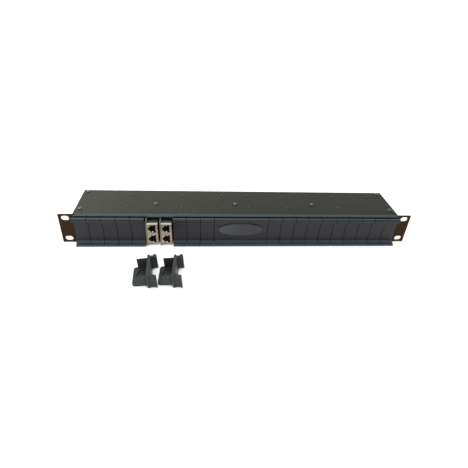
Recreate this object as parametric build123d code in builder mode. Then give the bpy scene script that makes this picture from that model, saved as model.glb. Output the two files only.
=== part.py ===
"""Rack chassis, one unit high, for plug-in line protection modules behind snap-in covers.

X runs to the right, +Y into the rack and +Z up, in millimetres. The origin is the centre
of the four rack slots, on the front faces of the two ears.
"""
from build123d import *
from math import atan2, degrees
import os

os.makedirs("parts", exist_ok=True)

# Slots for modules, side by side across the front
slot_count = 24
slot_pitch = 18.483
side_margin = 0.85

# Rack ears, to the 19 inch standard
ear_width = 18.654
panel_height = 43.66
rack_slot_edge = 8.75
rack_slot_spacing_z = 31.75
rack_slot_length = 10.3
rack_slot_height = 7.1
ear_corner_radius = 0.8

# Folded steel box
box_depth = 70.0
pan_sheet = 1.5
lid_sheet = 1.2
bend_inside = 0.8
front_lip_height = 3.8
rear_lip_height = 8.0
flange_width = 10.5
flange_setback = 4.0
corner_relief = 0.4
slide_clearance = 0.3

# Guide combs, riveted under the lid or standing with moulded feet in slots of the floor
comb_depth = 6.0
comb_height = 5.6
comb_front_gap = 0.6
comb_rear_gap = 10.7
comb_end_gap = 1.0
rivet_in_slot = 12.3
rivet_slots = (0, 3, 7, 10, 12, 15, 19, 22)
rivet_radius = 1.2
rivet_head_radius = 2.0
rivet_head_height = 0.8
rivet_head_taper = 35
rivet_grip = 3.0
rivet_clearance = 0.1
foot_slots = (1, 8, 15, 22)
foot_length = 5.0
foot_width = 2.4
foot_recess = 0.3
foot_clearance = 0.1

# Ground bar, screwed up to the lid
bar_width = 9.0
bar_thickness = 2.5
bar_gap = 0.8
bar_screw_slots = (5, 11, 17)
ground_shank_radius = 3.0
ground_stud_radius = 2.5
ground_stud_length = 8.0
ground_stud_height = 20.0
ground_stud_tip = 0.5
ground_stud_head_radius = 5.0
ground_stud_head_thickness = 1.5
ground_nut_width = 10.0
ground_nut_height = 3.2
ground_nut_margin = 0.3
ground_washer_radius = 6.0
ground_washer_thickness = 1.0

# Pan head screws; screws, rivets and their holes have few sides, because there are many
fastener_sides = 12
screw_radius = 1.5
screw_head_radius = 2.8
screw_head_height = 1.6
screw_head_rounding = 0.7
screw_length = 4.2
screw_clearance = 0.1
lid_screw_inset_x = 6.65
lid_screw_front = 15.5
lid_screw_rear = 6.0

# Snap-in covers
cover_gap = 0.6
cover_end_gap = 0.5
plate_thickness = 4.2
tip_thickness = 2.8
tip_chamfer = 0.8
brow_reach = 11.7
brow_height = 5.4
brow_underside_slope = 0.6
ridge_thickness = 4.1
ridge_chamfer = 1.6
groove_depth = 2.4
toe_reach = 12.0
toe_height = 3.0
toe_rounding = 0.7
toe_hollow = 1.8
toe_tip_thickness = 1.9
toe_floor_gap = 0.2
cove_depth = 3.8
cove_rise = 2.3
cove_step = 1.2
web_inset = 0.5

# Hollow body behind each cover
body_gap = 1.0
body_wall = 1.8
body_side_inset = 1.4
body_side_length = 18.6
body_wall_cutback = 5.4
body_top_inset = 1.6
body_bottom_inset = 3.4
body_corner_radius = 4.0
pocket_depth = 1.2
pocket_length = 13.0
pocket_height = 12.0
pocket_slant = 3.0
pocket_drop = 7.0
barb_length = 3.2
barb_width = 6.0

# Oval badge on a plate as wide as several slots
badge_first_slot = 10
badge_slots = 4
badge_length = 61.0
badge_height = 20.6
badge_lift = 1.5
badge_thickness = 1.9
badge_rim_height = 0.9
badge_rim_width = 1.4

# Protection modules
module_slots = (5, 6)
module_gap_left = 1.1
module_gap_right = 1.75
bracket_sheet = 1.5
bracket_reach = 9.3
bracket_leg_width = 2.6
bracket_leg_gap = 0.3
bracket_slope_run = 7.0
bracket_slope_drop = 4.0
bracket_rear_gap = 3.5
bracket_rear_chamfer = 3.0
tab_length = 4.0
tab_width = 3.0
shield_sheet = 0.5
shield_reach = 8.5
shield_depth = 11.5
shield_lip_gap = 0.6
shield_bottom_gap = 2.9
shield_top_gap = 8.66
shield_bend = 1.1
housing_back = 12.0
housing_gap = 0.3
jack_wall = 2.8
jack_top_margin = 2.4
jack_bottom_margin = 1.6
jack_opening_height = 11.8
jack_opening_width = 6.6
jack_step_heights = (7.2, 4.0)
jack_step_widths = (1.7, 1.6)
jack_cavity_depth = 11.0
contact_count = 8
contact_pitch = 1.02
contact_width = 0.45
contact_thickness = 0.5
contact_rise = 2.8
contact_length = 9.0
board_thickness = 1.6
board_offset = 1.6
board_rear_gap = 4.5
board_edge_gap = 5.0
tube_radius = 2.9
tube_height = 8.0
choke_size = 9.0
choke_height = 7.0
diode_count = 6
diode_length = 4.4
diode_width = 2.2
diode_height = 2.0

# Two covers taken off and laid on their right sides in front of the chassis
loose_left_x = -120.6
loose_left_y = -53.5
loose_left_turn = 3.6
loose_right_x = -87.5
loose_right_y = -53.3
loose_right_turn = -1.4

# Positions worked out from the sizes above
bottom = -panel_height / 2
top = panel_height / 2
box_width = slot_count * slot_pitch + 2 * side_margin
panel_width = box_width + 2 * ear_width
slots_left = -slot_count * slot_pitch / 2
inner_half = box_width / 2 - pan_sheet
bend_outside = bend_inside + pan_sheet
fold_half = box_width / 2 - bend_outside - corner_relief
lid_underside = top - lid_sheet
floor_top = bottom + pan_sheet
opening_top = top - front_lip_height
opening_bottom = bottom + front_lip_height
flange_underside = lid_underside - pan_sheet
flange_inner_half = box_width / 2 - flange_width
back_outside = box_depth - lid_sheet
back_inside = back_outside - pan_sheet
rack_slot_spacing_x = panel_width - 2 * rack_slot_edge
plate_back = -slide_clearance
plate_front = plate_back - plate_thickness
plate_bottom = bottom + cover_end_gap
plate_top = top - cover_end_gap
plate_edge_top = opening_top - slide_clearance
plate_edge_bottom = opening_bottom + slide_clearance
body_top = opening_top - body_gap
body_bottom = opening_bottom + body_gap
body_height = body_top - body_bottom
body_width = slot_pitch - cover_gap
comb_front = plate_back + body_side_length + comb_front_gap
comb_rear = back_inside - comb_rear_gap - comb_depth
rivet_rows = (comb_front + comb_depth / 3, comb_rear + comb_depth * 2 / 3)
rivet_columns = [slots_left + rivet_in_slot + slot_pitch * slot for slot in rivet_slots]
rivet_points = [(x, y) for x in rivet_columns for y in rivet_rows]
foot_columns = [slots_left + slot_pitch * (slot + 1) for slot in foot_slots]
foot_rows = (comb_front + comb_depth / 2, comb_rear + comb_depth / 2)
foot_points = [(x, y) for x in foot_columns for y in foot_rows]
bar_middle = comb_front + comb_depth + bar_gap + bar_width / 2
bar_points = [
    (slots_left + rivet_in_slot + slot_pitch * slot, bar_middle) for slot in bar_screw_slots
]
lid_screw_x = box_width / 2 - lid_screw_inset_x
lid_screw_points = [
    (side * lid_screw_x, y)
    for side in (-1, 1)
    for y in (lid_screw_front, box_depth - lid_screw_rear)
]
stud_height = bottom + ground_stud_height
ground_shank_length = ground_washer_thickness + ground_nut_height + ground_nut_margin
shield_top = top - shield_top_gap
shield_bottom = bottom + shield_bottom_gap
shield_front = -shield_reach
shield_back = shield_front + shield_depth
shield_step = -shield_lip_gap
housing_front = shield_front + shield_sheet
housing_top = shield_top - shield_sheet
cavity_back = housing_front + jack_cavity_depth
jack_middles = (
    shield_bottom + jack_bottom_margin + jack_opening_height / 2,
    shield_top - jack_top_margin - jack_opening_height / 2,
)
module_back = back_inside - bracket_rear_gap
board_front = housing_back + housing_gap
board_back = module_back - board_rear_gap
board_middle = (board_front + board_back) / 2
board_bottom = plate_edge_bottom + board_edge_gap
board_top = plate_edge_top - board_edge_gap


def slot_centre(slot):
    """Middle of a slot, counted from the left, from 0."""
    return slots_left + (slot + 0.5) * slot_pitch


def fastener_outline(radius, mode=Mode.ADD):
    """Section of a screw, a rivet or the hole for one."""
    RegularPolygon(radius, fastener_sides, major_radius=False, mode=mode)


def save(part, name):
    """Name a finished piece and write it to its own file."""
    part.label = name
    export_step(part, f"parts/{name}.step")


# Bottom pan: floor, side walls, inward flanges, back wall, front lip and ears from one sheet
with BuildPart() as pan:
    with BuildSketch(Plane.XZ):
        with Locations((0, (bottom + lid_underside) / 2)):
            RectangleRounded(box_width, lid_underside - bottom, bend_outside)
            RectangleRounded(
                2 * inner_half,
                flange_underside - floor_top,
                bend_inside,
                mode=Mode.SUBTRACT,
            )
        with Locations((0, lid_underside)):
            Rectangle(2 * flange_inner_half, 4 * pan_sheet, mode=Mode.SUBTRACT)
    extrude(amount=-back_outside)
    # The flanges stop short of the ears and of the back wall
    with BuildSketch(Plane.XY.offset(flange_underside - bend_inside)):
        with Locations((0, flange_setback / 2), (0, back_outside - flange_setback / 2)):
            Rectangle(2 * inner_half, flange_setback)
    extrude(amount=top - flange_underside, mode=Mode.SUBTRACT)
    # The upper back corners make room for the bend of the lid
    with BuildSketch(Plane.XY.offset(lid_underside - bend_inside)):
        with Locations((0, back_outside)):
            Rectangle(box_width, 2 * bend_inside)
    extrude(amount=bend_inside, mode=Mode.SUBTRACT)
    # The folds of the front lip and of the back wall are parted from the side walls
    with BuildSketch(Plane.XY.offset(bottom)):
        with Locations((0, 0), (0, back_outside)):
            Rectangle(2 * (fold_half + corner_relief), 2 * (bend_outside + corner_relief))
    extrude(amount=pan_sheet, mode=Mode.SUBTRACT)
    with BuildSketch(Plane.YZ):
        with Locations((back_outside / 2, bottom)):
            RectangleRounded(
                back_outside,
                panel_height,
                bend_outside,
                align=(Align.CENTER, Align.MIN),
            )
        with Locations((back_outside / 2, floor_top)):
            RectangleRounded(
                back_inside - pan_sheet,
                panel_height,
                bend_inside,
                align=(Align.CENTER, Align.MIN),
                mode=Mode.SUBTRACT,
            )
        with Locations((0, opening_bottom)):
            Rectangle(back_outside / 2, 2 * panel_height, align=Align.MIN, mode=Mode.SUBTRACT)
        with Locations((back_outside, lid_underside - bend_inside)):
            Rectangle(
                back_outside / 2,
                2 * panel_height,
                align=(Align.MAX, Align.MIN),
                mode=Mode.SUBTRACT,
            )
    extrude(amount=fold_half, both=True)
    # Ears, bent outwards from the side walls
    with BuildSketch(Plane.XZ):
        with Locations((-panel_width / 2, bottom)):
            Rectangle(ear_width + pan_sheet, panel_height, align=Align.MIN)
        with Locations((panel_width / 2, bottom)):
            Rectangle(ear_width + pan_sheet, panel_height, align=(Align.MAX, Align.MIN))
        outer_corners = vertices().group_by(Axis.X)[0] + vertices().group_by(Axis.X)[-1]
        fillet(outer_corners, ear_corner_radius)
        with GridLocations(rack_slot_spacing_x, rack_slot_spacing_z, 2, 2):
            SlotOverall(rack_slot_length, rack_slot_height, mode=Mode.SUBTRACT)
    extrude(amount=-pan_sheet)
    # Holes for the lid screws and the ground stud, and slots for the feet of the combs
    with BuildSketch(Plane.XY.offset(lid_underside)):
        with Locations(*lid_screw_points):
            fastener_outline(screw_radius + screw_clearance)
    extrude(amount=-pan_sheet, mode=Mode.SUBTRACT)
    with Locations(Plane(origin=(0, back_inside, stud_height), z_dir=(0, -1, 0))):
        Hole(ground_shank_radius + screw_clearance, pan_sheet)
    with BuildSketch(Plane.XY.offset(bottom)):
        with Locations(*foot_points):
            Rectangle(foot_length + 2 * foot_clearance, foot_width + 2 * foot_clearance)
    extrude(amount=pan_sheet, mode=Mode.SUBTRACT)
save(pan.part, "bottom_pan")

# Lid: one flat sheet with its front edge and rear edge folded down
with BuildPart() as lid:
    with BuildSketch(Plane.YZ):
        with Locations((box_depth / 2, top)):
            RectangleRounded(
                box_depth,
                panel_height,
                bend_inside + lid_sheet,
                align=(Align.CENTER, Align.MAX),
            )
        with Locations((box_depth / 2, lid_underside)):
            RectangleRounded(
                box_depth - 2 * lid_sheet,
                panel_height,
                bend_inside,
                align=(Align.CENTER, Align.MAX),
                mode=Mode.SUBTRACT,
            )
        with Locations((box_depth / 2, opening_top)):
            Rectangle(box_depth / 2, panel_height, align=Align.MAX, mode=Mode.SUBTRACT)
        with Locations((box_depth / 2, top - rear_lip_height)):
            Rectangle(
                box_depth / 2,
                panel_height,
                align=(Align.MIN, Align.MAX),
                mode=Mode.SUBTRACT,
            )
    extrude(amount=box_width / 2, both=True)
    # The front corners are notched to pass behind the ears
    with BuildSketch(Plane.XY.offset(bottom)):
        with GridLocations(box_width, 0, 2, 1):
            Rectangle(2 * (pan_sheet + corner_relief), 2 * (bend_outside + corner_relief))
    extrude(amount=panel_height, mode=Mode.SUBTRACT)
    # Holes for the rivets and the screws
    with BuildSketch(Plane.XY.offset(top)):
        with Locations(*rivet_points):
            fastener_outline(rivet_radius + rivet_clearance)
        with Locations(*lid_screw_points, *bar_points):
            fastener_outline(screw_radius + screw_clearance)
    extrude(amount=-lid_sheet, mode=Mode.SUBTRACT)
save(lid.part, "lid")


def build_comb(front, upper):
    """Guide comb: a moulded bar with one groove for each module's bracket."""
    seat = lid_underside if upper else floor_top
    teeth = seat - comb_height if upper else seat + comb_height
    groove_end = plate_edge_top + slide_clearance if upper else plate_edge_bottom - slide_clearance
    groove_x = -slot_pitch / 2 + module_gap_left + bracket_sheet / 2
    above = (Align.CENTER, Align.MIN)
    below = (Align.CENTER, Align.MAX)
    with BuildPart() as comb:
        with BuildSketch(Plane.XZ.offset(-front)):
            with Locations((0, seat)):
                Rectangle(2 * (inner_half - comb_end_gap), comb_height, align=below if upper else above)
            with Locations(*[(slot_centre(slot) + groove_x, teeth) for slot in range(slot_count)]):
                Rectangle(
                    bracket_sheet + 2 * slide_clearance,
                    abs(teeth - groove_end),
                    align=above if upper else below,
                    mode=Mode.SUBTRACT,
                )
            if upper:
                # Both ends step down to clear the flanges of the pan
                with Locations((0, seat)):
                    with GridLocations(box_width, 0, 2, 1):
                        Rectangle(
                            2 * (flange_width + slide_clearance),
                            2 * (pan_sheet + slide_clearance),
                            mode=Mode.SUBTRACT,
                        )
        extrude(amount=-comb_depth)
        if upper:
            row = rivet_rows[0] if front == comb_front else rivet_rows[1]
            with BuildSketch(Plane.XY.offset(seat)):
                with Locations(*[(x, row) for x in rivet_columns]):
                    fastener_outline(rivet_radius + rivet_clearance)
            extrude(amount=-rivet_grip, mode=Mode.SUBTRACT)
        else:
            with BuildSketch(Plane.XY.offset(seat)):
                with Locations(*[(x, front + comb_depth / 2) for x in foot_columns]):
                    Rectangle(foot_length, foot_width)
            extrude(amount=foot_recess - pan_sheet)
    return comb.part


save(build_comb(comb_front, True), "upper_comb_front")
save(build_comb(comb_rear, True), "upper_comb_rear")
save(build_comb(comb_front, False), "lower_comb_front")
save(build_comb(comb_rear, False), "lower_comb_rear")

# Flat head rivets, each with its shank down through the lid into its comb
with BuildPart() as lid_rivets:
    with BuildSketch(Plane.XY.offset(top)):
        with Locations(*rivet_points):
            fastener_outline(rivet_head_radius)
    extrude(amount=rivet_head_height, taper=rivet_head_taper)
    with BuildSketch(Plane.XY.offset(top)):
        with Locations(*rivet_points):
            fastener_outline(rivet_radius)
    extrude(amount=-lid_sheet - rivet_grip)
save(lid_rivets.part, "lid_rivets")

# Ground bar of tinned copper, under the lid, with a tapped hole for each screw
with BuildPart() as ground_bar:
    with BuildSketch(Plane.XY.offset(lid_underside)):
        with Locations((0, bar_middle)):
            Rectangle(2 * (flange_inner_half - slide_clearance), bar_width)
        with Locations(*bar_points):
            fastener_outline(screw_radius + screw_clearance, mode=Mode.SUBTRACT)
    extrude(amount=-bar_thickness)
save(ground_bar.part, "ground_bar")


def build_screws(points, length):
    """Pan head screws, all driven down from the top of the lid."""
    with BuildPart() as screws:
        with BuildSketch(Plane.XY.offset(top)):
            with Locations(*points):
                fastener_outline(screw_head_radius)
        extrude(amount=screw_head_height)
        chamfer(screws.edges().group_by(Axis.Z)[-1], screw_head_rounding)
        with BuildSketch(Plane.XY.offset(top)):
            with Locations(*points):
                fastener_outline(screw_radius)
        extrude(amount=-length)
    return screws.part


save(build_screws(lid_screw_points, screw_length), "lid_screws")
save(build_screws(bar_points, lid_sheet + bar_thickness), "bar_screws")

# Ground terminal on the back wall: a stepped stud, held by its washer and nut
stud_plane = Plane(origin=(0, back_outside, stud_height), x_dir=(1, 0, 0), z_dir=(0, 1, 0))
with BuildPart() as ground_stud:
    with BuildSketch(stud_plane.offset(-pan_sheet)):
        Circle(ground_shank_radius)
    extrude(amount=pan_sheet + ground_shank_length)
    with BuildSketch(stud_plane.offset(ground_shank_length)):
        Circle(ground_stud_radius)
    extrude(amount=ground_stud_length)
    chamfer(ground_stud.edges().group_by(Axis.Y)[-1], ground_stud_tip)
    with BuildSketch(stud_plane.offset(-pan_sheet)):
        Circle(ground_stud_head_radius)
    extrude(amount=-ground_stud_head_thickness)
save(ground_stud.part, "ground_stud")

with BuildPart() as ground_nut:
    with BuildSketch(stud_plane):
        Circle(ground_washer_radius)
    extrude(amount=ground_washer_thickness)
    with BuildSketch(stud_plane.offset(ground_washer_thickness)):
        RegularPolygon(ground_nut_width / 2, 6, major_radius=False)
    extrude(amount=ground_nut_height)
    with BuildSketch(stud_plane):
        Circle(ground_shank_radius + screw_clearance)
    extrude(amount=ground_washer_thickness + ground_nut_height, mode=Mode.SUBTRACT)
save(ground_nut.part, "ground_nut")


def build_cover(first_slot, slots):
    """Moulded cover: brow, recessed face and toe in front, hollow body behind."""
    width = slots * slot_pitch - cover_gap
    left = slots_left + first_slot * slot_pitch + cover_gap / 2
    right = left + width
    brow_front = -brow_reach
    toe_front = -toe_reach
    tip_front = plate_back - tip_thickness
    toe_bottom = bottom + toe_floor_gap
    brow_bottom = plate_top - brow_height
    groove_floor = plate_top - groove_depth
    cove_foot = plate_front - cove_depth
    cove_top = bottom + toe_height + cove_step + cove_rise
    ledge = bottom + toe_height
    with BuildPart() as cover:
        with BuildSketch(Plane.YZ.offset(left)):
            with BuildLine():
                Polyline(
                    (plate_back, plate_bottom + tip_chamfer),
                    (plate_back, plate_top - tip_chamfer),
                    (plate_back - tip_chamfer, plate_top),
                    (tip_front, plate_top),
                    (tip_front, groove_floor),
                    (brow_front + ridge_thickness, groove_floor),
                    (brow_front + ridge_thickness, plate_top),
                    (brow_front + ridge_chamfer, plate_top),
                    (brow_front, plate_top - ridge_chamfer),
                    (brow_front, brow_bottom),
                    (plate_front, brow_bottom - brow_underside_slope),
                    (plate_front, cove_top),
                    (cove_foot, ledge + cove_step),
                    (cove_foot, ledge),
                    (toe_front + toe_rounding, ledge),
                    (toe_front, ledge - toe_rounding),
                    (toe_front, toe_bottom),
                    (toe_front + toe_tip_thickness, toe_bottom),
                    (toe_front + toe_tip_thickness, bottom + toe_hollow),
                    (tip_front, bottom + toe_hollow),
                    (tip_front, plate_bottom),
                    (plate_back - tip_chamfer, plate_bottom),
                    close=True,
                )
            make_face()
        extrude(amount=width)
        # The web of the brow stops short of the right end
        with BuildSketch(Plane.YZ.offset(right)):
            with Locations((plate_front, groove_floor)):
                Rectangle(
                    brow_reach + plate_front - ridge_thickness,
                    groove_floor - brow_bottom + brow_underside_slope,
                    align=Align.MAX,
                )
        extrude(amount=-web_inset, mode=Mode.SUBTRACT)
        # One hollow body behind a single cover, one behind each end of a wider plate
        for body_slot in sorted({first_slot, first_slot + slots - 1}):
            body_left = slots_left + body_slot * slot_pitch + cover_gap / 2
            side_right = body_left + body_width - body_side_inset
            with BuildSketch(Plane.XZ.offset(-plate_back)):
                with Locations((side_right, body_top)):
                    Rectangle(
                        side_right - body_left - body_top_inset,
                        body_wall,
                        align=Align.MAX,
                    )
                with Locations((side_right, body_bottom)):
                    Rectangle(
                        side_right - body_left - body_bottom_inset,
                        body_wall,
                        align=(Align.MAX, Align.MIN),
                    )
            extrude(amount=body_wall_cutback - body_side_length)
            with BuildSketch(Plane.YZ.offset(side_right)):
                with Locations((plate_back, body_bottom)):
                    Rectangle(body_side_length, body_height, align=Align.MIN)
                fillet(vertices().group_by(Axis.X)[-1], body_corner_radius)
            extrude(amount=-body_wall)
            # A blind pocket in the inner face of the side wall
            pocket_top = body_top - pocket_drop
            pocket_front = plate_back + body_wall
            with BuildSketch(Plane.YZ.offset(side_right - body_wall)):
                with BuildLine():
                    Polyline(
                        (pocket_front, pocket_top),
                        (pocket_front + pocket_length - pocket_slant, pocket_top),
                        (pocket_front + pocket_length, pocket_top - pocket_height),
                        (pocket_front, pocket_top - pocket_height),
                        close=True,
                    )
                make_face()
            extrude(amount=pocket_depth, mode=Mode.SUBTRACT)
            # Snap barbs hook behind the front lips of the box
            barb_front = pan_sheet + slide_clearance
            with BuildSketch(Plane.YZ.offset(side_right - body_wall)):
                for base, tip in ((body_top, plate_edge_top), (body_bottom, plate_edge_bottom)):
                    with BuildLine():
                        Polyline(
                            (barb_front, base),
                            (barb_front, tip),
                            (barb_front + barb_length, base),
                            close=True,
                        )
                    make_face()
            extrude(amount=-barb_width)
            # The plate is cored out from behind, inside the body
            with BuildSketch(Plane.XZ.offset(-plate_back)):
                with Locations((side_right - body_wall, body_bottom + body_wall)):
                    Rectangle(
                        body_width - body_side_inset - 2 * body_wall,
                        body_height - 2 * body_wall,
                        align=(Align.MAX, Align.MIN),
                    )
            extrude(amount=plate_thickness - body_wall, mode=Mode.SUBTRACT)
    return cover.part


# Covers in every slot that holds neither a module nor the badge plate
badge_range = range(badge_first_slot, badge_first_slot + badge_slots)
covered = [slot for slot in range(slot_count) if slot not in module_slots and slot not in badge_range]
for slot in covered:
    save(build_cover(slot, 1), f"cover_{slot + 1:02d}")
save(build_cover(badge_first_slot, badge_slots), "badge_plate")

# Oval badge with a sloped rim, on the recessed face of its plate
badge_plane = Plane(
    origin=(slots_left + (badge_first_slot + badge_slots / 2) * slot_pitch, plate_front, badge_lift),
    x_dir=(1, 0, 0),
    z_dir=(0, -1, 0),
)
with BuildPart() as badge:
    with BuildSketch(badge_plane):
        Ellipse(badge_length / 2, badge_height / 2)
    extrude(amount=badge_thickness)
    front_face = badge.faces().sort_by(Axis.Y)[0]
    chamfer(front_face.edges(), badge_rim_width, badge_rim_height, reference=front_face)
save(badge.part, "badge")

# Loose covers rest on the back edge of the plate and the back edge of the side wall
lean = degrees(atan2(body_side_inset, body_side_length))
on_its_side = Plane(origin=(0, 0, 0), x_dir=(0, 0, -1), z_dir=(0, 1, 0)).location
resting_edge = Pos(-slots_left - slot_pitch + cover_gap / 2, -plate_back, -plate_top)
loose_spots = (
    (loose_left_x, loose_left_y, loose_left_turn),
    (loose_right_x, loose_right_y, loose_right_turn),
)
for number, (x, y, turn) in enumerate(loose_spots, start=1):
    place = Pos(x, y, bottom) * Rot(Z=turn) * Rot(Y=-lean) * on_its_side * resting_edge
    save(place * build_cover(0, 1), f"loose_cover_{number}")


def jack_outline():
    """Opening for one plug, on its side: the latch steps lie to the left."""
    edge = 0
    for step_width, step_height in zip(
        (jack_opening_width,) + jack_step_widths,
        (jack_opening_height,) + jack_step_heights,
    ):
        with Locations((edge, 0)):
            Rectangle(step_width, step_height, align=(Align.MAX, Align.CENTER))
        edge -= step_width


def build_module(slot, name):
    """Protection module: bracket, twin jack in its shield, contacts, board and parts."""
    middle = slot_centre(slot)
    plate_left = middle - slot_pitch / 2 + module_gap_left
    plate_right = plate_left + bracket_sheet
    shield_right = middle + slot_pitch / 2 - module_gap_right
    shield_width = shield_right - plate_right
    opening_right = shield_right - jack_wall
    opening_points = [(opening_right, height) for height in jack_middles]
    board_left = plate_right + board_offset
    board_right = board_left + board_thickness

    # Bracket: a steel plate on the left that runs in the combs, with a leg in front
    with BuildPart() as bracket:
        with BuildSketch(Plane.YZ.offset(plate_left)):
            with BuildLine():
                Polyline(
                    (-bracket_reach, bottom + bracket_leg_gap),
                    (-bracket_reach, plate_edge_top - bracket_slope_drop),
                    (-bracket_reach + bracket_slope_run, plate_edge_top),
                    (module_back - bracket_rear_chamfer, plate_edge_top),
                    (module_back, plate_edge_top - bracket_rear_chamfer),
                    (module_back, plate_edge_bottom + bracket_rear_chamfer),
                    (module_back - bracket_rear_chamfer, plate_edge_bottom),
                    (-bracket_reach + bracket_leg_width, plate_edge_bottom),
                    (-bracket_reach + bracket_leg_width, bottom + bracket_leg_gap),
                    close=True,
                )
            make_face()
        extrude(amount=bracket_sheet)
        with BuildSketch(Plane.YZ.offset(plate_right)):
            with Locations((board_middle, (board_bottom + board_top) / 2)):
                with GridLocations(
                    board_back - board_front - 2 * tab_length,
                    board_top - board_bottom - 2 * tab_length,
                    2,
                    2,
                ):
                    Rectangle(tab_length, tab_width)
        extrude(amount=board_offset)
    save(bracket.part, f"{name}_bracket")

    # Housing of the twin jack, stepped up behind the shield to clear the front lip
    with BuildPart() as housing:
        with BuildSketch(Plane.YZ.offset(plate_right + shield_sheet)):
            with BuildLine():
                Polyline(
                    (housing_front, shield_bottom + shield_sheet),
                    (housing_front, housing_top),
                    (housing_back, housing_top),
                    (housing_back, plate_edge_bottom),
                    (shield_step, plate_edge_bottom),
                    (shield_step, shield_bottom + shield_sheet),
                    close=True,
                )
            make_face()
        extrude(amount=shield_width - 2 * shield_sheet)
        with BuildSketch(Plane.XZ.offset(-housing_front)):
            with Locations(*opening_points):
                jack_outline()
        extrude(amount=-jack_cavity_depth, mode=Mode.SUBTRACT)
    save(housing.part, f"{name}_jack_housing")

    # Shield: one thin plated sheet, folded round the front of the housing
    with BuildPart() as shield:
        with BuildSketch(Plane.XZ.offset(-shield_back)):
            with Locations((plate_right, shield_bottom)):
                Rectangle(shield_width, shield_top - shield_bottom, align=Align.MIN)
        extrude(amount=shield_depth)
        fillet(shield.edges().group_by(Axis.Y)[0].sort_by(Axis.Z)[-1], shield_bend)
        with BuildSketch(Plane.XZ.offset(-shield_back)):
            with Locations((plate_right + shield_sheet, shield_bottom + shield_sheet)):
                Rectangle(
                    shield_width - 2 * shield_sheet,
                    housing_top - shield_bottom - shield_sheet,
                    align=Align.MIN,
                )
        extrude(amount=shield_depth - shield_sheet, mode=Mode.SUBTRACT)
        # Its sides end above the front lip of the box
        with BuildSketch(Plane.XY.offset(shield_bottom)):
            with Locations((plate_right, shield_step)):
                Rectangle(shield_width, shield_back - shield_step, align=Align.MIN)
        extrude(amount=plate_edge_bottom - shield_bottom, mode=Mode.SUBTRACT)
        with BuildSketch(Plane.XZ.offset(-shield_front)):
            with Locations(*opening_points):
                jack_outline()
        extrude(amount=-shield_sheet, mode=Mode.SUBTRACT)
    save(shield.part, f"{name}_jack_shield")

    # Contact springs, from the right wall of each cavity back to its end wall
    with BuildPart() as contacts:
        for height in jack_middles:
            lowest = height - (contact_count - 1) * contact_pitch / 2 - contact_width / 2
            for number in range(contact_count):
                with BuildSketch(Plane.XY.offset(lowest + number * contact_pitch)):
                    with BuildLine():
                        Polyline(
                            (opening_right, cavity_back - contact_length),
                            (opening_right, cavity_back - contact_length + contact_thickness * 2),
                            (opening_right - contact_rise + contact_thickness, cavity_back),
                            (opening_right - contact_rise, cavity_back),
                            close=True,
                        )
                    make_face()
                extrude(amount=contact_width)
    save(contacts.part, f"{name}_contacts")

    # Circuit board on the four tabs of the bracket
    with BuildPart() as board:
        with BuildSketch(Plane.YZ.offset(board_left)):
            with Locations((board_front, board_bottom)):
                Rectangle(board_back - board_front, board_top - board_bottom, align=Align.MIN)
        extrude(amount=board_thickness)
    save(board.part, f"{name}_board")

    # Parts that divert a surge: two chokes, two gas tubes and a column of diodes
    with BuildPart() as board_parts:
        row_height = (board_top - board_bottom) / 2
        with BuildSketch(Plane.YZ.offset(board_right)):
            with Locations((board_front + choke_size, (board_bottom + board_top) / 2)):
                with GridLocations(0, row_height, 1, 2):
                    Rectangle(choke_size, choke_size)
        extrude(amount=choke_height)
        with BuildSketch(Plane.YZ.offset(board_right)):
            with Locations((board_middle, (board_bottom + board_top) / 2)):
                with GridLocations(0, row_height, 1, 2):
                    Circle(tube_radius)
        extrude(amount=tube_height)
        with BuildSketch(Plane.YZ.offset(board_right)):
            with Locations((board_back - 2 * diode_length, (board_bottom + board_top) / 2)):
                with GridLocations(0, row_height * 2 / diode_count, 1, diode_count):
                    Rectangle(diode_length, diode_width)
        extrude(amount=diode_height)
    save(board_parts.part, f"{name}_board_parts")


for number, slot in enumerate(module_slots, start=1):
    build_module(slot, f"module_{number}")
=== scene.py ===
import bpy
import math
from mathutils import Matrix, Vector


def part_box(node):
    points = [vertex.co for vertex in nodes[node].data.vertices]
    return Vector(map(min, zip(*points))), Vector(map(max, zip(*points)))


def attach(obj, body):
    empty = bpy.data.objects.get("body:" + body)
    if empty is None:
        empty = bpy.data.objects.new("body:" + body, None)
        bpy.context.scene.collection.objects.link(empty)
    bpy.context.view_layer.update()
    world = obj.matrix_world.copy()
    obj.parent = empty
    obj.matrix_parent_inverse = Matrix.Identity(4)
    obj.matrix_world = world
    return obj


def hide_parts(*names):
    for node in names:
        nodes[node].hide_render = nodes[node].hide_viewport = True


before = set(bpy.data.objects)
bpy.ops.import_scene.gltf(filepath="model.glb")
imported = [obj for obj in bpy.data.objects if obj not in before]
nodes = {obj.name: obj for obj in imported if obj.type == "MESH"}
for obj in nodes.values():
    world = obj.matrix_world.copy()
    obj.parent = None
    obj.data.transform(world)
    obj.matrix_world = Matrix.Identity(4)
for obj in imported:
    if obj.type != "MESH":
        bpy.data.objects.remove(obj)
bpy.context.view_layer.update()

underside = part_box("bottom_pan")[0].z
bpy.ops.object.select_all(action="DESELECT")


def linear(code):
    """The linear colour of an sRGB hex value."""
    parts = [(code >> shift & 255) / 255 for shift in (16, 8, 0)]
    return [p / 12.92 if p <= 0.04045 else ((p + 0.055) / 1.055) ** 2.4 for p in parts] + [1.0]


def add_node(owner, kind, inputs=None, **settings):
    """One node, with its settings, its values and the sockets linked to it."""
    node = owner.node_tree.nodes.new(kind)
    for name, value in settings.items():
        setattr(node, name, value)
    for name, value in (inputs or {}).items():
        if isinstance(value, bpy.types.NodeSocket):
            owner.node_tree.links.new(value, node.inputs[name])
        else:
            node.inputs[name].default_value = value
    return node


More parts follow.
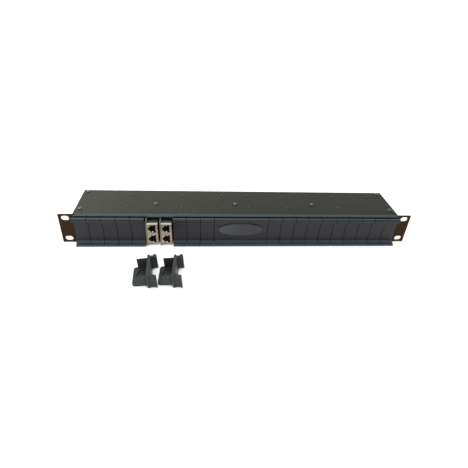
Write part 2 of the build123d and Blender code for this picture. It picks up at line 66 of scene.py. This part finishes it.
camera_data = bpy.data.cameras.new("camera")
camera_data.lens = 29.37
camera_data.sensor_width = 36.0
camera = bpy.data.objects.new("camera", camera_data)
camera.matrix_world = (
    Matrix.Translation((-0.05748, -0.44096, 0.28905))
    @ Matrix.Rotation(math.radians(-6.3), 4, "Z")
    @ Matrix.Rotation(math.radians(90 - 33.9), 4, "X")
    @ Matrix.Rotation(math.radians(3.53), 4, "Z")
)
bpy.context.collection.objects.link(camera)
bpy.context.scene.camera = camera
bpy.context.scene.view_settings.view_transform = "Standard"

wall_end = 0.28
ceiling_start = 0.46
bright_side = -0.35
dim_side = 0.45
room_strength = 1.35
room = bpy.data.worlds.new("pale room")
bpy.context.scene.world = room
room.use_nodes = True
sky = room.node_tree.nodes["Background"]
way = add_node(
    room,
    "ShaderNodeSeparateXYZ",
    {"Vector": add_node(room, "ShaderNodeTexCoord").outputs["Generated"]},
)
to_ceiling = add_node(
    room,
    "ShaderNodeMapRange",
    {"Value": way.outputs["Z"], "From Min": wall_end, "From Max": ceiling_start},
)
to_right = add_node(
    room,
    "ShaderNodeMapRange",
    {"Value": way.outputs["X"], "From Min": bright_side, "From Max": dim_side},
)
ceiling = add_node(
    room,
    "ShaderNodeMix",
    {"Factor": to_right.outputs["Result"], 6: linear(0xF6FAFF), 7: linear(0x6A7074)},
    data_type="RGBA",
)
walls = add_node(
    room,
    "ShaderNodeMix",
    {"Factor": to_ceiling.outputs["Result"], 6: linear(0xDFDFDF), 7: ceiling.outputs[2]},
    data_type="RGBA",
)
room.node_tree.links.new(walls.outputs[2], sky.inputs["Color"])
sky.inputs["Strength"].default_value = room_strength

for name, place, size, power in (
    ("lamp behind on the left", (-0.9, 1.1, 1.3), 1.0, 3.0),
    ("lamp in front", (0.1, -1.5, 1.6), 1.2, 4.0),
):
    lamp_data = bpy.data.lights.new(name, "AREA")
    lamp_data.size = size
    lamp_data.energy = power
    lamp = bpy.data.objects.new(name, lamp_data)
    lamp.location = place
    lamp.rotation_euler = (-lamp.location).to_track_quat("-Z", "Y").to_euler()
    bpy.context.collection.objects.link(lamp)

# The table shows white to the camera and in gloss; its glow is turned down in the gaps under the
# pieces, a painted shade.
table_size = 60
table_glow = 0.62
gap_reach = 0.006
bpy.ops.mesh.primitive_plane_add(size=table_size, location=(0, 0, underside))
table = bpy.context.object
table.name = "table_top"
bpy.ops.object.transform_apply()
table_paint = bpy.data.materials.new("white table top")
table_paint.use_nodes = True
shader = table_paint.node_tree.nodes["Principled BSDF"]
shader.inputs["Base Color"].default_value = linear(0xF0F0F0)
shader.inputs["Roughness"].default_value = 0.9
shader.inputs["Specular IOR Level"].default_value = 0.0
seen = add_node(table_paint, "ShaderNodeLightPath")
seen_or_mirrored = add_node(
    table_paint,
    "ShaderNodeMath",
    {0: seen.outputs["Is Camera Ray"], 1: seen.outputs["Is Glossy Ray"]},
    operation="MAXIMUM",
)
seen_at_all = add_node(
    table_paint,
    "ShaderNodeMath",
    {0: seen_or_mirrored.outputs["Value"], 1: seen.outputs["Is Transmission Ray"]},
    operation="MAXIMUM",
)
# Ambient occlusion turns the table's glow down under the pieces: painted shade.
open_sky = add_node(table_paint, "ShaderNodeAmbientOcclusion", {"Distance": gap_reach}, samples=8)
glow_level = add_node(
    table_paint,
    "ShaderNodeMapRange",
    {"Value": open_sky.outputs["AO"], "From Min": 0.35, "From Max": 0.7, "To Max": table_glow},
)
glow = add_node(
    table_paint,
    "ShaderNodeMath",
    {0: seen_at_all.outputs["Value"], 1: glow_level.outputs["Result"]},
    operation="MULTIPLY",
)
shader.inputs["Emission Color"].default_value = linear(0xFFFFFF)
table_paint.node_tree.links.new(glow.outputs["Value"], shader.inputs["Emission Strength"])
table.data.materials.append(table_paint)

# Bottom pan with its ears: one folded sheet of steel, 1.5 mm thick, cut and bent in a press.
# Powder coat, cured in an oven: satin, olive black, with a fine orange peel and faint clouds.
# The ears are painted a warmer, browner colour than the box, a painted reflection.
ear_inner_edge = 0.2231
ear_blend = 0.0003
cloud_size = 0.00625


def new_finish(name, colour, roughness, metallic=0.0):
    """A material with its shader's values, and its shader and Object coordinates to build on."""
    material = bpy.data.materials.new(name)
    material.use_nodes = True
    shader = material.node_tree.nodes["Principled BSDF"]
    shader.inputs["Base Color"].default_value = linear(colour)
    shader.inputs["Roughness"].default_value = roughness
    shader.inputs["Metallic"].default_value = metallic
    place = add_node(material, "ShaderNodeTexCoord").outputs["Object"]
    return material, shader, place


def add_grain(material, shader, place, grain, depth, contrast=0.0):
    """Fine bumps of one grain size in metres, and a roughness that varies with them."""
    noise = add_node(
        material, "ShaderNodeTexNoise", {"Vector": place, "Scale": 1.0 / grain, "Detail": 2.0}
    )
    bump = add_node(
        material,
        "ShaderNodeBump",
        {"Height": noise.outputs["Fac"], "Strength": 1.0, "Distance": depth},
    )
    material.node_tree.links.new(bump.outputs["Normal"], shader.inputs["Normal"])
    if contrast:
        middle = shader.inputs["Roughness"].default_value
        spread = add_node(
            material,
            "ShaderNodeMapRange",
            {
                "Value": noise.outputs["Fac"],
                "From Min": 0.3,
                "From Max": 0.7,
                "To Min": middle - contrast,
                "To Max": middle + contrast,
            },
        )
        material.node_tree.links.new(spread.outputs["Result"], shader.inputs["Roughness"])
    return noise


def finish(piece, material):
    """Gives a piece or a CAD node its material."""
    piece.data.materials.clear()
    piece.data.materials.append(material)


powder_coat, shader, place = new_finish("olive black powder coat on steel", 0x2C2B24, 0.44)
shader.inputs["Specular IOR Level"].default_value = 0.12
shader.inputs["Specular Tint"].default_value = linear(0xFFF4D2)
add_grain(powder_coat, shader, place, 0.0006, 0.00002, 0.04)
clouds = add_node(
    powder_coat,
    "ShaderNodeTexNoise",
    {"Vector": place, "Scale": 1.0 / cloud_size, "Detail": 4.0},
)
tone = add_node(
    powder_coat,
    "ShaderNodeMix",
    {"Factor": clouds.outputs["Fac"], 6: linear(0x141410), 7: linear(0x28271E)},
    data_type="RGBA",
)
across = add_node(powder_coat, "ShaderNodeSeparateXYZ", {"Vector": place})
from_middle = add_node(
    powder_coat, "ShaderNodeMath", {0: across.outputs["X"]}, operation="ABSOLUTE"
)
on_ear = add_node(
    powder_coat,
    "ShaderNodeMapRange",
    {
        "Value": from_middle.outputs["Value"],
        "From Min": ear_inner_edge - ear_blend,
        "From Max": ear_inner_edge + ear_blend,
    },
)
# The ears' browner colour is a painted reflection.
coat_colour = add_node(
    powder_coat,
    "ShaderNodeMix",
    {"Factor": on_ear.outputs["Result"], 6: tone.outputs[2], 7: linear(0x362210)},
    data_type="RGBA",
)
powder_coat.node_tree.links.new(coat_colour.outputs[2], shader.inputs["Base Color"])
finish(nodes["bottom_pan"], powder_coat)

# Lid: a second sheet, 1.2 mm thick, with its front and rear edges folded down, in the same
# coat. The front fold is painted paler and bluer, a painted reflection, and behind it lie
# three small scuffs.
lid_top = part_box("lid")[1].z
fold_end = 0.0024
fold_blend = 0.001
scuffs = ((-0.0828, 0.0044), (-0.0749, 0.0026), (-0.0664, 0.0102))
scuff_radius = 0.0010
lid_coat = powder_coat.copy()
lid_coat.name = "powder coat with a painted sheen on its front fold"
shader = lid_coat.node_tree.nodes["Principled BSDF"]
shader.inputs["Specular IOR Level"].default_value = 0.4
place = lid_coat.node_tree.nodes["Texture Coordinate"].outputs["Object"]
along = add_node(lid_coat, "ShaderNodeSeparateXYZ", {"Vector": place})
on_fold = add_node(
    lid_coat,
    "ShaderNodeMapRange",
    {"Value": along.outputs["Y"], "From Min": fold_end, "From Max": fold_end - fold_blend},
)
# The front fold is painted paler and bluer: a painted reflection.
fold_colour = add_node(
    lid_coat,
    "ShaderNodeMix",
    {
        "Factor": on_fold.outputs["Result"],
        6: shader.inputs["Base Color"].links[0].from_socket,
        7: linear(0x525F64),
    },
    data_type="RGBA",
)
fold_sheen_and_scuffs = fold_colour.outputs[2]
for x, y in scuffs:
    gap = add_node(
        lid_coat,
        "ShaderNodeVectorMath",
        {0: place, 1: (x, y, lid_top)},
        operation="DISTANCE",
    )
    rub = add_node(
        lid_coat,
        "ShaderNodeMapRange",
        {
            "Value": gap.outputs["Value"],
            "From Min": scuff_radius,
            "From Max": scuff_radius / 2,
        },
    )
    mark = add_node(
        lid_coat,
        "ShaderNodeMix",
        {"Factor": rub.outputs["Result"], 6: fold_sheen_and_scuffs, 7: linear(0x6A6C66)},
        data_type="RGBA",
    )
    fold_sheen_and_scuffs = mark.outputs[2]
lid_coat.node_tree.links.new(fold_sheen_and_scuffs, shader.inputs["Base Color"])
finish(nodes["lid"], lid_coat)

# Combs: moulded nylon bars with one groove for the bracket of each module, riveted up to the
# lid or standing on feet in the floor. Glass-filled nylon is dull, with pale specks of fibre.
nylon, shader, place = new_finish("glass-filled nylon", 0x1E1E1E, 0.6)
fibres = add_grain(nylon, shader, place, 0.0004, 0.00002, 0.08)
flecks = add_node(
    nylon,
    "ShaderNodeMix",
    {"Factor": fibres.outputs["Fac"], 6: linear(0x161616), 7: linear(0x2A2A2A)},
    data_type="RGBA",
)
nylon.node_tree.links.new(flecks.outputs[2], shader.inputs["Base Color"])
for name in ("upper_comb_front", "upper_comb_rear", "lower_comb_front", "lower_comb_rear"):
    finish(nodes[name], nylon)

# Rivets: aluminium with a low domed head, pressed through the lid into the upper combs and
# blackened after the coat, so each dome carries one small soft highlight.
slot_pitch = 0.018483
slots_left = -12 * slot_pitch
rivet_offset = 0.0123
rivet_slots = (0, 3, 7, 10, 12, 15, 19, 22)
rivet_length = 0.0042
rivet_shank = 0.0012
rivet_head = 0.0020
rivet_dome = ((0.0018, 0.00042), (0.0014, 0.00062), (0.0009, 0.00075), (0.0003, 0.0008))
rivets_low, rivets_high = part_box("lid_rivets")
rivet_rows = (rivets_low.y + rivet_head, rivets_high.y - rivet_head)


def turned(name, steps, sides):
    """A round piece: a disc drawn up through its steps of radius and height."""
    bpy.ops.object.select_all(action="DESELECT")
    radius, height = steps[0]
    bpy.ops.mesh.primitive_circle_add(
        vertices=sides, radius=radius, fill_type="NGON", location=(0, 0, height)
    )
    piece = bpy.context.object
    piece.name = piece.data.name = name
    bpy.ops.object.transform_apply()
    bpy.ops.object.mode_set(mode="EDIT")
    bpy.ops.mesh.select_all(action="SELECT")
    for next_radius, next_height in steps[1:]:
        bpy.ops.mesh.extrude_region_move(
            TRANSFORM_OT_translate={"value": (0, 0, next_height - height)}
        )
        scale = next_radius / radius
        bpy.ops.transform.resize(value=(scale, scale, 1), center_override=(0, 0, next_height))
        radius, height = next_radius, next_height
    bpy.ops.mesh.select_all(action="SELECT")
    bpy.ops.mesh.remove_doubles(threshold=1e-6)
    bpy.ops.mesh.normals_make_consistent(inside=False)
    bpy.ops.object.mode_set(mode="OBJECT")
    bpy.ops.object.shade_smooth_by_angle(angle=math.radians(35))
    return piece


def set_out(pattern, name, places):
    """Copies of a pattern at each place, joined into one piece; the pattern goes."""
    bpy.ops.object.select_all(action="DESELECT")
    for place in places:
        copy = pattern.copy()
        copy.data = pattern.data.copy()
        copy.data.transform(place)
        bpy.context.collection.objects.link(copy)
        copy.select_set(True)
        bpy.context.view_layer.objects.active = copy
    if len(places) > 1:
        bpy.ops.object.join()
    bpy.data.objects.remove(pattern)
    piece = bpy.context.object
    piece.name = piece.data.name = name
    return piece


rivet_black, shader, place = new_finish("blackened aluminium", 0x4A4B48, 0.3, 0.7)
add_grain(rivet_black, shader, place, 0.0005, 0.000015, 0.08)
rivet = turned(
    "rivet",
    (
        (rivet_shank, -rivet_length),
        (rivet_shank, 0.0),
        (rivet_head, 0.0),
        (rivet_head, 0.00015),
        *rivet_dome,
    ),
    24,
)
rivet_places = [
    Matrix.Translation((slots_left + rivet_offset + slot * slot_pitch, row, lid_top))
    for slot in rivet_slots
    for row in rivet_rows
]
rivets = set_out(rivet, "domed_rivets", rivet_places)
finish(rivets, rivet_black)
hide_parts("lid_rivets")
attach(rivets, "chassis")

# Ground bar: tinned copper, sheared and drilled, hung under the lid by three screws. Tin is
# a soft grey white with dull streaks along the bar.
streak_stretch = (60.0, 1800.0, 1800.0)
tinned_copper, shader, place = new_finish("tinned copper", 0xB8B5AE, 0.4, 1.0)
streaks = add_node(
    tinned_copper, "ShaderNodeMapping", {"Vector": place, "Scale": streak_stretch}
)
streak_noise = add_node(
    tinned_copper, "ShaderNodeTexNoise", {"Vector": streaks.outputs["Vector"], "Detail": 2.0}
)
streak_colour = add_node(
    tinned_copper,
    "ShaderNodeMix",
    {"Factor": streak_noise.outputs["Fac"], 6: linear(0x9C9890), 7: linear(0xCFCCC6)},
    data_type="RGBA",
)
tinned_copper.node_tree.links.new(streak_colour.outputs[2], shader.inputs["Base Color"])
finish(nodes["ground_bar"], tinned_copper)

# Pan head screws with a cross recess: four hold the lid down on the pan and three hold the
# ground bar up. Zinc plated steel with a dull bloom: mid grey, in paler and darker patches.
head_radius = 0.0028
shank_radius = 0.0015
recess_size = (0.003, 0.0007, 0.0014)
recess_middle = 0.0013
lid_screw_length = 0.0042
bar_screw_length = 0.0037
zinc_plate, shader, place = new_finish("dull zinc plated steel", 0x84888A, 0.36, 1.0)
patches = add_grain(zinc_plate, shader, place, 0.0009, 0.00001, 0.08)
patch_colour = add_node(
    zinc_plate,
    "ShaderNodeMix",
    {"Factor": patches.outputs["Fac"], 6: linear(0x585C5C), 7: linear(0x9CA0A2)},
    data_type="RGBA",
)
zinc_plate.node_tree.links.new(patch_colour.outputs[2], shader.inputs["Base Color"])


def pan_head_screw(length):
    """One screw, its head's underside at the origin, with its cross recess cut."""
    screw = turned(
        "screw",
        (
            (0.0011, -length),
            (shank_radius, -length + 0.0004),
            (shank_radius, 0.0),
            (head_radius, 0.0),
            (head_radius, 0.0008),
            (0.0026, 0.0012),
            (0.0021, 0.0015),
            (0.0012, 0.0016),
        ),
        32,
    )
    bpy.ops.object.select_all(action="DESELECT")
    for turn in (0, math.pi / 2):
        bpy.ops.mesh.primitive_cube_add(size=1, location=(0, 0, recess_middle))
        blade = bpy.context.object
        blade.scale = recess_size
        blade.rotation_euler.z = turn
        bpy.ops.object.transform_apply()
        cut = screw.modifiers.new("recess", "BOOLEAN")
        cut.object = blade
        cut.operation = "DIFFERENCE"
        cut.solver = "EXACT"
        bpy.context.view_layer.objects.active = screw
        bpy.ops.object.modifier_apply(modifier="recess")
        bpy.data.objects.remove(blade)
    return screw


corner_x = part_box("lid_screws")[1].x - head_radius
corner_rows = (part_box("lid_screws")[0].y + head_radius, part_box("lid_screws")[1].y - head_radius)
corner_places = [
    Matrix.Translation((x, y, lid_top)) @ Matrix.Rotation(0.9 * number, 4, "Z")
    for number, (x, y) in enumerate((x, y) for x in (-corner_x, corner_x) for y in corner_rows)
]
bar_middle = sum(corner.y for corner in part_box("bar_screws")) / 2
bar_places = [
    Matrix.Translation((slots_left + rivet_offset + slot * slot_pitch, bar_middle, lid_top))
    @ Matrix.Rotation(0.5 + 0.7 * slot, 4, "Z")
    for slot in (5, 11, 17)
]
for name, length, places in (
    ("lid_screws", lid_screw_length, corner_places),
    ("bar_screws", bar_screw_length, bar_places),
):
    screws = set_out(pan_head_screw(length), f"cross_recessed_{name}", places)
    finish(screws, zinc_plate)
    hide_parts(name)
    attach(screws, "chassis")

# Ground terminal on the back wall: a stepped stud with a thread on its free end, a washer and
# a hexagon nut, in the same zinc plate.
stud_low, stud_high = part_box("ground_stud")
nut_low, nut_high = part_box("ground_nut")
collar_radius = 0.0050
collar_length = 0.0015
stud_radius = 0.0030
thread_root = 0.0022
thread_crest = 0.0025
thread_pitch = 0.0008
thread_start = nut_high.y + 0.0004
thread_count = int((stud_high.y - thread_start - 0.0006) / thread_pitch)
stud_steps = [
    (collar_radius, stud_low.y),
    (collar_radius, stud_low.y + collar_length),
    (stud_radius, stud_low.y + collar_length),
    (stud_radius, nut_high.y + 0.0003),
    (thread_root, nut_high.y + 0.0003),
]
for turn in range(thread_count):
    root = thread_start + turn * thread_pitch
    stud_steps += [(thread_root, root), (thread_crest, root + thread_pitch / 2)]
stud_steps += [(thread_root, stud_high.y - 0.0005), (0.0020, stud_high.y)]
to_back = Matrix.Translation((0, 0, (stud_low.z + stud_high.z) / 2)) @ Matrix.Rotation(
    -math.pi / 2, 4, "X"
)
stud = set_out(turned("stud", stud_steps, 32), "threaded_ground_stud", [to_back])
finish(stud, zinc_plate)
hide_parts("ground_stud")
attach(stud, "chassis")

washer_radius = 0.0060
washer_top = nut_low.y + 0.0010
nut_half_width = 0.0050
nut_corner = nut_half_width / math.cos(math.pi / 6)
nut_chamfer = 0.0004
bore_radius = 0.0031
washer = turned("washer", ((washer_radius, nut_low.y), (washer_radius, washer_top)), 48)
nut = turned(
    "nut",
    (
        (0.92 * nut_corner, washer_top),
        (nut_corner, washer_top + nut_chamfer),
        (nut_corner, nut_high.y - nut_chamfer),
        (0.92 * nut_corner, nut_high.y),
    ),
    6,
)
bpy.ops.mesh.primitive_cylinder_add(
    vertices=32, radius=bore_radius, depth=0.02, location=(0, 0, nut_low.y)
)
drill = bpy.context.object
for blank in (washer, nut):
    bore = blank.modifiers.new("bore", "BOOLEAN")
    bore.object = drill
    bore.operation = "DIFFERENCE"
    bore.solver = "EXACT"
    bpy.context.view_layer.objects.active = blank
    bpy.ops.object.modifier_apply(modifier="bore")
bpy.data.objects.remove(drill)
bpy.ops.object.select_all(action="DESELECT")
washer.select_set(True)
nut.select_set(True)
bpy.context.view_layer.objects.active = nut
bpy.ops.object.join()
nut = set_out(nut, "chamfered_ground_nut", [to_back])
finish(nut, zinc_plate)
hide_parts("ground_nut")
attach(nut, "chassis")

# Snap-in covers and the wide plate with the badge: ABS, moulded in one shot each, with a
# hollow body and snap barbs behind. The mould is spark-eroded, so the plastic is matt, with a
# grain that is drawn coarser than it is to show. Toes and brows are painted paler and bluer,
# a painted sheen, and the loose covers get a lighter, greener copy: painted light.
cover_grain = 0.0004
flow_marks = 90.0
toe_top = underside + 0.0068
toe_back = -0.0047
brow_bottom = lid_top - 0.0014
cover_abs, shader, place = new_finish("moulded black ABS", 0x1E1C1B, 0.46)
shader.inputs["Specular Tint"].default_value = linear(0xF2F6FF)
shader.inputs["Specular IOR Level"].default_value = 0.45
grain = add_node(
    cover_abs,
    "ShaderNodeTexNoise",
    {"Vector": place, "Scale": 1.0 / cover_grain, "Detail": 2.0},
)
soft_edge = add_node(cover_abs, "ShaderNodeBevel", {"Radius": 0.00035}, samples=4)
bump = add_node(
    cover_abs,
    "ShaderNodeBump",
    {
        "Height": grain.outputs["Fac"],
        "Strength": 1.0,
        "Distance": 0.000012,
        "Normal": soft_edge.outputs["Normal"],
    },
)
cover_abs.node_tree.links.new(bump.outputs["Normal"], shader.inputs["Normal"])
flow = add_node(
    cover_abs,
    "ShaderNodeTexNoise",
    {"Vector": place, "Scale": flow_marks, "Detail": 3.0},
)
abs_colour = add_node(
    cover_abs,
    "ShaderNodeMix",
    {"Factor": flow.outputs["Fac"], 6: linear(0x141211), 7: linear(0x1E1B1A)},
    data_type="RGBA",
)
cover_abs.node_tree.links.new(abs_colour.outputs[2], shader.inputs["Base Color"])
# The loose covers get a lighter, greener copy of the same ABS: painted light.
loose_abs = cover_abs.copy()
loose_abs.name = "moulded black ABS painted lighter"
loose_painted_light_mix = loose_abs.node_tree.nodes[abs_colour.name]
loose_painted_light_mix.inputs[6].default_value = linear(0x262823)
loose_painted_light_mix.inputs[7].default_value = linear(0x34362F)
spot = add_node(cover_abs, "ShaderNodeSeparateXYZ", {"Vector": place})
low = add_node(
    cover_abs,
    "ShaderNodeMapRange",
    {
        "Value": spot.outputs["Z"],
        "From Min": toe_top,
        "From Max": toe_top - 0.0010,
    },
)
out = add_node(
    cover_abs,
    "ShaderNodeMapRange",
    {"Value": spot.outputs["Y"], "From Min": toe_back, "From Max": toe_back - 0.0008},
)
on_toe = add_node(
    cover_abs,
    "ShaderNodeMath",
    {0: low.outputs["Result"], 1: out.outputs["Result"]},
    operation="MULTIPLY",
)
on_brow = add_node(
    cover_abs,
    "ShaderNodeMapRange",
    {
        "Value": spot.outputs["Z"],
        "From Min": brow_bottom,
        "From Max": brow_bottom + 0.0006,
    },
)
on_either = add_node(
    cover_abs,
    "ShaderNodeMath",
    {0: on_toe.outputs["Value"], 1: on_brow.outputs["Result"]},
    operation="MAXIMUM",
)
# Toes and brows are painted paler and bluer: a painted sheen.
toe_and_brow_sheen = add_node(
    cover_abs,
    "ShaderNodeMix",
    {"Factor": on_either.outputs["Value"], 6: abs_colour.outputs[2], 7: linear(0x40494E)},
    data_type="RGBA",
)
cover_abs.node_tree.links.new(toe_and_brow_sheen.outputs[2], shader.inputs["Base Color"])
for name, node in nodes.items():
    if name.startswith("cover_") or name == "badge_plate":
        finish(node, cover_abs)
    if name.startswith("loose_cover_"):
        finish(node, loose_abs)

# Badge: a blank oval of enamelled plastic with a low dome, stuck to the recessed face of its
# plate. Semi-gloss, a cool grey, painted paler and bluer towards its left end as a painted
# reflection.
badge_low, badge_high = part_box("badge")
badge_middle = (badge_low + badge_high) / 2
badge_lift = badge_high.y - badge_low.y
half_length = (badge_high.x - badge_low.x) / 2
half_height = (badge_high.z - badge_low.z) / 2
badge = turned(
    "domed_badge",
    (
        (1.0, 0.0),
        (1.0, 0.5),
        (0.975, 0.62),
        (0.93, 0.72),
        (0.84, 0.82),
        (0.70, 0.9),
        (0.50, 0.955),
        (0.28, 0.985),
        (0.08, 1.0),
    ),
    96,
)
badge.data.transform(
    Matrix.Translation((badge_middle.x, badge_high.y, badge_middle.z))
    @ Matrix.Rotation(math.pi / 2, 4, "X")
    @ Matrix.Diagonal((half_length, half_height, badge_lift, 1.0))
)
enamel, shader, place = new_finish("blank semi-gloss enamel", 0x2A2B30, 0.28)
along = add_node(enamel, "ShaderNodeSeparateXYZ", {"Vector": place})
to_left = add_node(
    enamel,
    "ShaderNodeMapRange",
    {
        "Value": along.outputs["X"],
        "From Min": badge_middle.x,
        "From Max": badge_low.x,
    },
)
# Paler and bluer towards the left end: a painted reflection.
enamel_colour = add_node(
    enamel,
    "ShaderNodeMix",
    {"Factor": to_left.outputs["Result"], 6: linear(0x252427), 7: linear(0x3A434B)},
    data_type="RGBA",
)
enamel.node_tree.links.new(enamel_colour.outputs[2], shader.inputs["Base Color"])
finish(badge, enamel)
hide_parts("badge")
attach(badge, "badge_plate_body")

# Module brackets: mild steel, 1.5 mm thick, stamped with four tabs for the board. Zinc
# plated and passivated, which leaves it olive and slightly brown, brighter in patches.
passivated_zinc, shader, place = new_finish("passivated zinc on steel", 0x7E7A64, 0.42, 1.0)
stains = add_grain(passivated_zinc, shader, place, 0.002, 0.00001, 0.06)
stain_colour = add_node(
    passivated_zinc,
    "ShaderNodeMix",
    {"Factor": stains.outputs["Fac"], 6: linear(0x5A5340), 7: linear(0x9A9A86)},
    data_type="RGBA",
)
passivated_zinc.node_tree.links.new(stain_colour.outputs[2], shader.inputs["Base Color"])
for number in (1, 2):
    finish(nodes[f"module_{number}_bracket"], passivated_zinc)

# Jack shields: nickel plated brass, 0.5 mm thick, folded round the front of each twin jack.
# The nickel has a warm brown tarnish in clouds, and is painted bright along the top bend, a
# painted highlight.
tarnished_nickel, shader, place = new_finish("tarnished nickel on brass", 0x9B8570, 0.4, 1.0)
tarnish = add_grain(tarnished_nickel, shader, place, 0.0022, 0.00001, 0.05)
tarnish_level = add_node(
    tarnished_nickel,
    "ShaderNodeMapRange",
    {"Value": tarnish.outputs["Fac"], "From Min": 0.32, "From Max": 0.66},
)
tarnish_colour = add_node(
    tarnished_nickel,
    "ShaderNodeMix",
    {"Factor": tarnish_level.outputs["Result"], 6: linear(0x86725C), 7: linear(0xBCAA96)},
    data_type="RGBA",
)
bend_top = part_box("module_1_jack_shield")[1].z
highlight_from = bend_top - 0.0018
highlight_to = bend_top - 0.0008
height = add_node(tarnished_nickel, "ShaderNodeSeparateXYZ", {"Vector": place})
near_bend = add_node(
    tarnished_nickel,
    "ShaderNodeMapRange",
    {
        "Value": height.outputs["Z"],
        "From Min": highlight_from,
        "From Max": highlight_to,
    },
)
# Bright along the top bend: a painted highlight.
nickel_colour = add_node(
    tarnished_nickel,
    "ShaderNodeMix",
    {
        "Factor": near_bend.outputs["Result"],
        6: tarnish_colour.outputs[2],
        7: linear(0xDEDACF),
    },
    data_type="RGBA",
)
tarnished_nickel.node_tree.links.new(nickel_colour.outputs[2], shader.inputs["Base Color"])

# Jack housings and contacts: each housing is one moulding of black PBT, smooth and slightly
# glossy. The contact springs in it are bronze wire plated with gold, bright and yellow.
jack_plastic, shader, place = new_finish("black PBT", 0x262C30, 0.35)
add_grain(jack_plastic, shader, place, 0.0004, 0.00001, 0.05)
gilt, shader, place = new_finish("gold plated bronze", 0xD8B060, 0.3, 1.0)
add_grain(gilt, shader, place, 0.0003, 0.000005, 0.05)
for number in (1, 2):
    finish(nodes[f"module_{number}_jack_shield"], tarnished_nickel)
    finish(nodes[f"module_{number}_jack_housing"], jack_plastic)
    finish(nodes[f"module_{number}_contacts"], gilt)

# Ground springs: tabs cut from each shield at the upper and lower edge of its openings and
# bent inwards, where they grip the shield of a plug. Bare nickel, rubbed bright.
opening_side = 0.0028
opening_height = 0.0118
lower_inset = 0.0016
upper_inset = 0.0024
spring_inset = 0.0042
spring_curl = 0.0008
spring_width = 0.0017
spring_reach = 0.0013
spring_sheet = 0.0003
bright_nickel, shader, place = new_finish("rubbed nickel", 0xE6E4DE, 0.3, 1.0)
add_grain(bright_nickel, shader, place, 0.0005, 0.000005, 0.06)
bpy.ops.object.select_all(action="DESELECT")
bpy.ops.mesh.primitive_cube_add(size=1, location=(0, 0, spring_reach / 2))
spring = bpy.context.object
spring.scale = (spring_width, spring_sheet, spring_reach)
bpy.ops.object.transform_apply()
bpy.ops.object.mode_set(mode="EDIT")
bpy.ops.mesh.select_all(action="SELECT")
bpy.ops.mesh.subdivide(number_cuts=3)
bpy.ops.object.mode_set(mode="OBJECT")
for vertex in spring.data.vertices:
    rise = vertex.co.z / spring_reach
    vertex.co.y += spring_curl * rise ** 2
    vertex.co.x *= 1 - 0.35 * rise
upside_down = Matrix.Rotation(math.pi, 4, "Y")
for number in (1, 2):
    low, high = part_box(f"module_{number}_jack_shield")
    spring_x = high.x - opening_side - spring_inset
    places = []
    for lower_edge, upper_edge in (
        (low.z + lower_inset, low.z + lower_inset + opening_height),
        (high.z - upper_inset - opening_height, high.z - upper_inset),
    ):
        places.append(Matrix.Translation((spring_x, low.y + spring_sheet, lower_edge)))
        places.append(Matrix.Translation((spring_x, low.y + spring_sheet, upper_edge)) @ upside_down)
    pattern = spring.copy()
    pattern.data = spring.data.copy()
    bpy.context.collection.objects.link(pattern)
    springs = set_out(pattern, f"module_{number}_ground_springs", places)
    finish(springs, bright_nickel)
    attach(springs, f"module_{number}_body")
bpy.data.objects.remove(spring)

# Circuit boards: glass epoxy, 1.6 mm thick, under a green solder mask, with copper tracks
# under two millimetres apart that show through as paler lines.
track_spacing = 0.0016
wave_repeat = 0.314
solder_mask, shader, place = new_finish("green solder mask on glass epoxy", 0x1C4A2C, 0.3)
bands = add_node(
    solder_mask,
    "ShaderNodeTexWave",
    {"Vector": place, "Scale": wave_repeat / track_spacing, "Distortion": 1.5, "Detail": 1.0},
    bands_direction="Z",
)
on_track = add_node(
    solder_mask,
    "ShaderNodeMapRange",
    {"Value": bands.outputs["Fac"], "From Min": 0.62, "From Max": 0.7},
)
mask_colour = add_node(
    solder_mask,
    "ShaderNodeMix",
    {"Factor": on_track.outputs["Result"], 6: linear(0x163E24), 7: linear(0x2E6A3C)},
    data_type="RGBA",
)
solder_mask.node_tree.links.new(mask_colour.outputs[2], shader.inputs["Base Color"])
for number in (1, 2):
    finish(nodes[f"module_{number}_board"], solder_mask)

# Parts on the boards: two wound chokes in dark ferrite in front, two gas tubes of white
# ceramic with metal ends in the middle, and a column of black diodes with pale bands behind.
winding_pitch = 0.0007
choke_end = 0.0258
tube_end = 0.0405
parts_finish, shader, place = new_finish("ferrite, ceramic and epoxy", 0x2A2A2C, 0.45)
add_grain(parts_finish, shader, place, 0.0005, 0.00001, 0.06)
spot = add_node(parts_finish, "ShaderNodeSeparateXYZ", {"Vector": place})
windings = add_node(
    parts_finish,
    "ShaderNodeTexWave",
    {"Vector": place, "Scale": wave_repeat / winding_pitch},
    bands_direction="Z",
)
choke_colour = add_node(
    parts_finish,
    "ShaderNodeMix",
    {"Factor": windings.outputs["Fac"], 6: linear(0x3A2416), 7: linear(0xA0602C)},
    data_type="RGBA",
)
past_chokes = add_node(
    parts_finish,
    "ShaderNodeMapRange",
    {"Value": spot.outputs["Y"], "From Min": choke_end, "From Max": choke_end + 0.0001},
)
ceramic_or_choke = add_node(
    parts_finish,
    "ShaderNodeMix",
    {"Factor": past_chokes.outputs["Result"], 6: choke_colour.outputs[2], 7: linear(0xD6D2C6)},
    data_type="RGBA",
)
past_tubes = add_node(
    parts_finish,
    "ShaderNodeMapRange",
    {"Value": spot.outputs["Y"], "From Min": tube_end, "From Max": tube_end + 0.0001},
)
parts_colour = add_node(
    parts_finish,
    "ShaderNodeMix",
    {"Factor": past_tubes.outputs["Result"], 6: ceramic_or_choke.outputs[2], 7: linear(0x1C1C1E)},
    data_type="RGBA",
)
parts_finish.node_tree.links.new(parts_colour.outputs[2], shader.inputs["Base Color"])
for number in (1, 2):
    finish(nodes[f"module_{number}_board_parts"], parts_finish)
